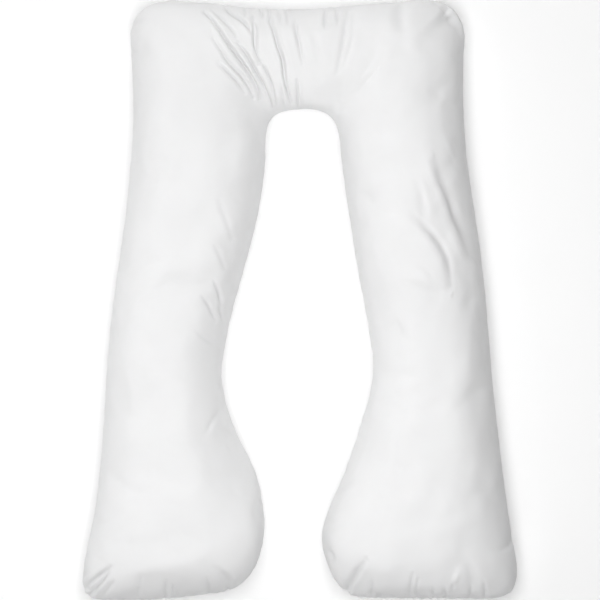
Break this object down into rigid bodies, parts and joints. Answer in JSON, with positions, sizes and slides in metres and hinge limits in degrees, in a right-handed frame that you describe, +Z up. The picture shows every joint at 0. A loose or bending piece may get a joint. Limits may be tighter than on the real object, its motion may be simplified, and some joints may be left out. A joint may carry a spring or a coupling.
{
  "type": "pregnancy pillow",
  "caption": "U-shaped stuffed white cotton body pillow: long legs widening into rounded feet, joined by a creased head bar; lies flat and cradles a side sleeper between its legs.",
  "frame": {"origin": "on the bed, under the middle of the pillow's outline", "axes": "+Y from the feet to the head bar, +X to the right as seen from above, +Z up from the bed to the face"},
  "size_m": [1.05, 1.4518, 0.2121],
  "materials": {
    "cotton_cover": "fine plain-weave white cotton, smooth, with a soft sheen"
  },
  "bodies": {
    "root": {"pillow": "cotton_cover"}
  },
  "joints": []
}
